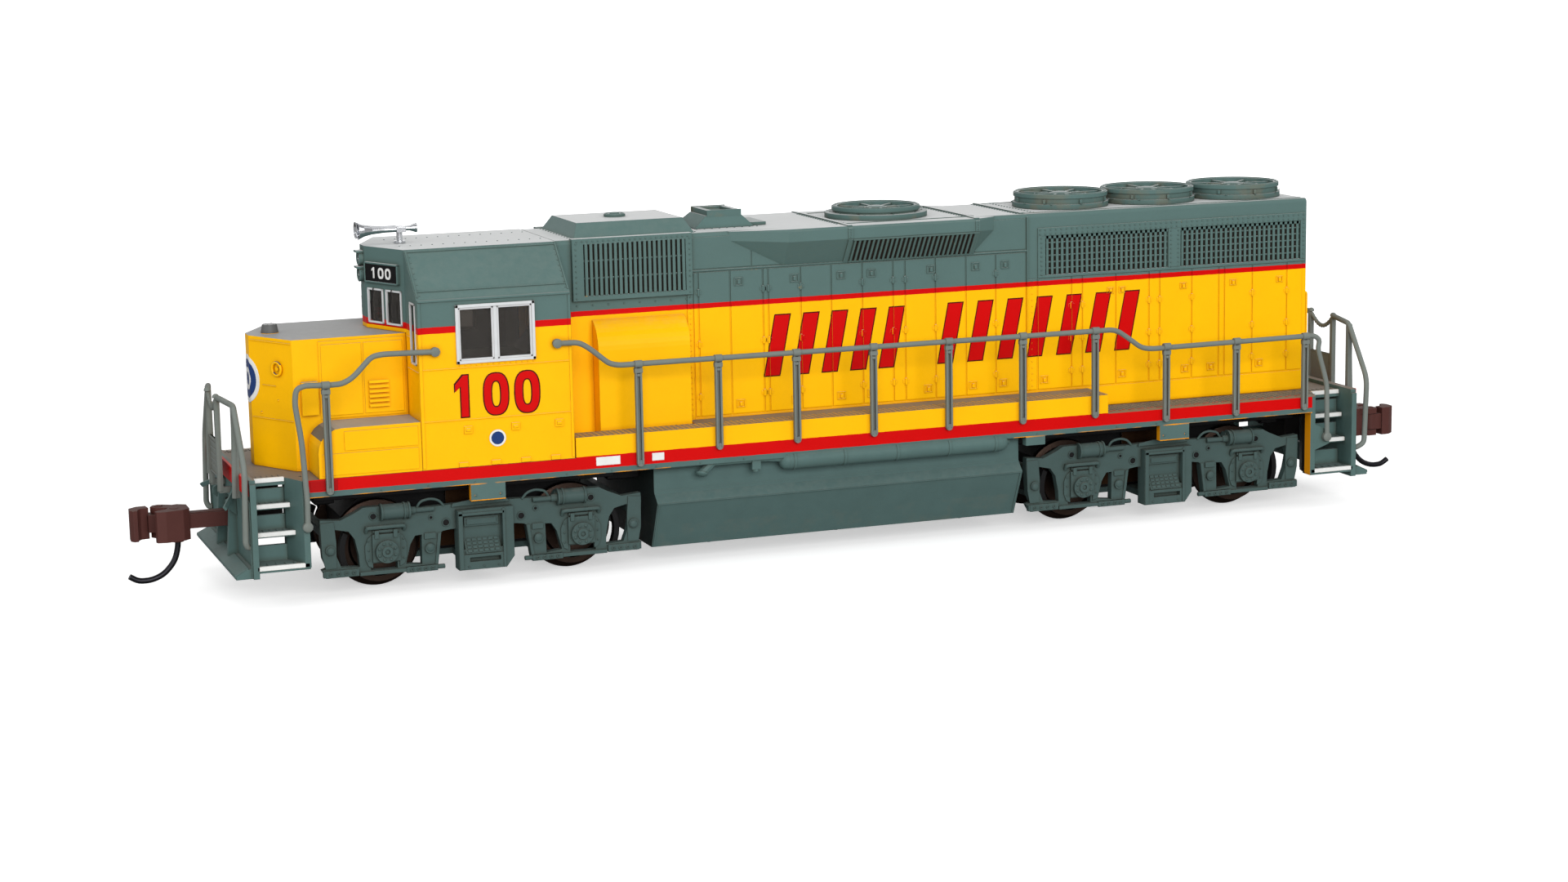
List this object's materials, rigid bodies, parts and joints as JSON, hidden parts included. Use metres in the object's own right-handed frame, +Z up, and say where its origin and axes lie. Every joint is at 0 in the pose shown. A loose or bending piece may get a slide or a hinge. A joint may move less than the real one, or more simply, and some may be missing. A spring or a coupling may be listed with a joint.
{
  "type": "model diesel locomotive",
  "caption": "Small-scale four-axle hood-unit diesel locomotive: shell on a split cast chassis, worm-driven swivelling trucks, handrails and knuckle couplers at both ends.",
  "frame": {"origin": "on the rail-head plane, midway between the two trucks and the two rails", "axes": "+X forwards (cab end), +Y to the left side, +Z up"},
  "size_m": [0.1232, 0.0206, 0.0307],
  "materials": {
    "die_cast_frame": "as-cast matt",
    "steel_screw": "turned",
    "nylon": "matt",
    "walkway_paint": "satin grey-green paint with red stripe, yellow duct and dark deck",
    "tank_paint": "satin grey-green paint",
    "cab_paint": "satin yellow with red stripe and grey-green upper half",
    "nose_paint": "satin yellow with dark grey top",
    "hood_paint": "satin yellow with red stripe and grey-green upper half",
    "roof_detail_paint": "satin grey-green paint",
    "horn_plating": "bright plated",
    "clear_styrene": "clear",
    "light_pipe_acrylic": "clear",
    "circuit_board": "solder mask",
    "led_lens": "gloss",
    "handrail_delrin": "satin grey acetal",
    "motor_steel": "zinc plated",
    "black_nylon": "matt black",
    "carbon": "matt",
    "bronze": "rolled phosphor bronze",
    "draft_gear_plastic": "matt black",
    "shaft_steel": "ground",
    "brass": "turned",
    "acetal_gear": "natural acetal",
    "truck_plastic": "satin grey-green",
    "wheel_metal": "blackened nickel tread",
    "coupler_plastic": "brown acetal",
    "trip_pin_steel": "blackened"
  },
  "bodies": {
    "chassis": {"frame_left": "die_cast_frame", "frame_right": "die_cast_frame", "frame_screws": "steel_screw", "frame_insulators": "nylon", "walkway_sill": "walkway_paint", "fuel_tank": "tank_paint", "cab_shell": "cab_paint", "short_hood": "nose_paint", "long_hood": "hood_paint", "radiator_fans": "roof_detail_paint", "dynamic_brake_fan": "roof_detail_paint", "exhaust_stack": "roof_detail_paint", "horn": "horn_plating", "cab_glazing": "clear_styrene", "light_pipe_front": "light_pipe_acrylic", "light_pipe_rear": "light_pipe_acrylic", "circuit_board": "circuit_board", "headlight_leds": "led_lens", "handrail_left": "handrail_delrin", "handrail_right": "handrail_delrin", "handrail_front": "handrail_delrin", "handrail_rear": "handrail_delrin", "motor_can": "motor_steel", "motor_end_bell": "black_nylon", "motor_brushes": "carbon", "motor_saddle": "black_nylon", "worm_bearings": "bronze", "coupler_box_front": "draft_gear_plastic", "coupler_box_rear": "draft_gear_plastic"},
    "drive_line": {"armature_shaft": "shaft_steel", "flywheel_front": "brass", "flywheel_rear": "brass", "worm_front": "acetal_gear", "worm_rear": "acetal_gear"},
    "front_truck": {"front_truck_gearbox": "black_nylon", "front_truck_sideframes": "truck_plastic", "front_truck_pickups": "bronze"},
    "front_worm_gear_body": {"front_worm_gear": "acetal_gear"},
    "front_idler_fore_body": {"front_idler_fore": "acetal_gear"},
    "front_idler_aft_body": {"front_idler_aft": "acetal_gear"},
    "wheelset_1": {"wheels_1": "wheel_metal", "axle_gear_1": "acetal_gear"},
    "wheelset_2": {"wheels_2": "wheel_metal", "axle_gear_2": "acetal_gear"},
    "rear_truck": {"rear_truck_gearbox": "black_nylon", "rear_truck_sideframes": "truck_plastic", "rear_truck_pickups": "bronze"},
    "rear_worm_gear_body": {"rear_worm_gear": "acetal_gear"},
    "rear_idler_fore_body": {"rear_idler_fore": "acetal_gear"},
    "rear_idler_aft_body": {"rear_idler_aft": "acetal_gear"},
    "wheelset_3": {"wheels_3": "wheel_metal", "axle_gear_3": "acetal_gear"},
    "wheelset_4": {"wheels_4": "wheel_metal", "axle_gear_4": "acetal_gear"},
    "coupler_front_body": {"coupler_front": "coupler_plastic", "trip_pin_front": "trip_pin_steel"},
    "knuckle_front_body": {"knuckle_front": "coupler_plastic"},
    "coupler_rear_body": {"coupler_rear": "coupler_plastic", "trip_pin_rear": "trip_pin_steel"},
    "knuckle_rear_body": {"knuckle_rear": "coupler_plastic"}
  },
  "joints": [
    {"name": "motor_spin", "type": "hinge", "parent": "chassis", "child": "drive_line", "pos_m": [0, 0, 0.0107], "axis": [1, 0, 0], "continuous": true},
    {"name": "front_truck_swivel", "type": "hinge", "parent": "chassis", "child": "front_truck", "pos_m": [0.03237, 0, 0.008], "axis": [0, 0, 1], "range_deg": [-8, 8]},
    {"name": "front_worm_gear_spin", "type": "hinge", "parent": "front_truck", "child": "front_worm_gear_body", "pos_m": [0.03237, 0, 0.0061], "axis": [0, 1, 0], "continuous": true},
    {"name": "front_idler_fore_spin", "type": "hinge", "parent": "front_truck", "child": "front_idler_fore_body", "pos_m": [0.03756, 0, 0.00572], "axis": [0, 1, 0], "continuous": true},
    {"name": "front_idler_aft_spin", "type": "hinge", "parent": "front_truck", "child": "front_idler_aft_body", "pos_m": [0.02718, 0, 0.00572], "axis": [0, 1, 0], "continuous": true},
    {"name": "wheelset_1_spin", "type": "hinge", "parent": "front_truck", "child": "wheelset_1", "pos_m": [0.0409, 0, 0.00318], "axis": [0, 1, 0], "continuous": true},
    {"name": "wheelset_2_spin", "type": "hinge", "parent": "front_truck", "child": "wheelset_2", "pos_m": [0.02384, 0, 0.00318], "axis": [0, 1, 0], "continuous": true},
    {"name": "rear_truck_swivel", "type": "hinge", "parent": "chassis", "child": "rear_truck", "pos_m": [-0.03237, 0, 0.008], "axis": [0, 0, 1], "range_deg": [-8, 8]},
    {"name": "rear_worm_gear_spin", "type": "hinge", "parent": "rear_truck", "child": "rear_worm_gear_body", "pos_m": [-0.03237, 0, 0.0061], "axis": [0, 1, 0], "continuous": true},
    {"name": "rear_idler_fore_spin", "type": "hinge", "parent": "rear_truck", "child": "rear_idler_fore_body", "pos_m": [-0.02718, 0, 0.00572], "axis": [0, 1, 0], "continuous": true},
    {"name": "rear_idler_aft_spin", "type": "hinge", "parent": "rear_truck", "child": "rear_idler_aft_body", "pos_m": [-0.03756, 0, 0.00572], "axis": [0, 1, 0], "continuous": true},
    {"name": "wheelset_3_spin", "type": "hinge", "parent": "rear_truck", "child": "wheelset_3", "pos_m": [-0.02384, 0, 0.00318], "axis": [0, 1, 0], "continuous": true},
    {"name": "wheelset_4_spin", "type": "hinge", "parent": "rear_truck", "child": "wheelset_4", "pos_m": [-0.0409, 0, 0.00318], "axis": [0, 1, 0], "continuous": true},
    {"name": "coupler_front_swing", "type": "hinge", "parent": "chassis", "child": "coupler_front_body", "pos_m": [0.0501, 0, 0.0057], "axis": [0, 0, 1], "range_deg": [-14, 14]},
    {"name": "knuckle_front_open", "type": "hinge", "parent": "coupler_front_body", "child": "knuckle_front_body", "pos_m": [0.0583, -0.0011, 0.0055], "axis": [0, 0, 1], "range_deg": [-35, 0]},
    {"name": "coupler_rear_swing", "type": "hinge", "parent": "chassis", "child": "coupler_rear_body", "pos_m": [-0.0501, 0, 0.0057], "axis": [0, 0, 1], "range_deg": [-14, 14]},
    {"name": "knuckle_rear_open", "type": "hinge", "parent": "coupler_rear_body", "child": "knuckle_rear_body", "pos_m": [-0.0583, 0.0011, 0.0055], "axis": [0, 0, 1], "range_deg": [-35, 0]}
  ],
  "couplings": [
    {"joint": "front_worm_gear_spin", "follows": "motor_spin", "ratio": -0.066667},
    {"joint": "front_idler_fore_spin", "follows": "motor_spin", "ratio": 0.090909},
    {"joint": "front_idler_aft_spin", "follows": "motor_spin", "ratio": 0.090909},
    {"joint": "wheelset_1_spin", "follows": "motor_spin", "ratio": -0.1},
    {"joint": "wheelset_2_spin", "follows": "motor_spin", "ratio": -0.1},
    {"joint": "rear_worm_gear_spin", "follows": "motor_spin", "ratio": -0.066667},
    {"joint": "rear_idler_fore_spin", "follows": "motor_spin", "ratio": 0.090909},
    {"joint": "rear_idler_aft_spin", "follows": "motor_spin", "ratio": 0.090909},
    {"joint": "wheelset_3_spin", "follows": "motor_spin", "ratio": -0.1},
    {"joint": "wheelset_4_spin", "follows": "motor_spin", "ratio": -0.1}
  ]
}
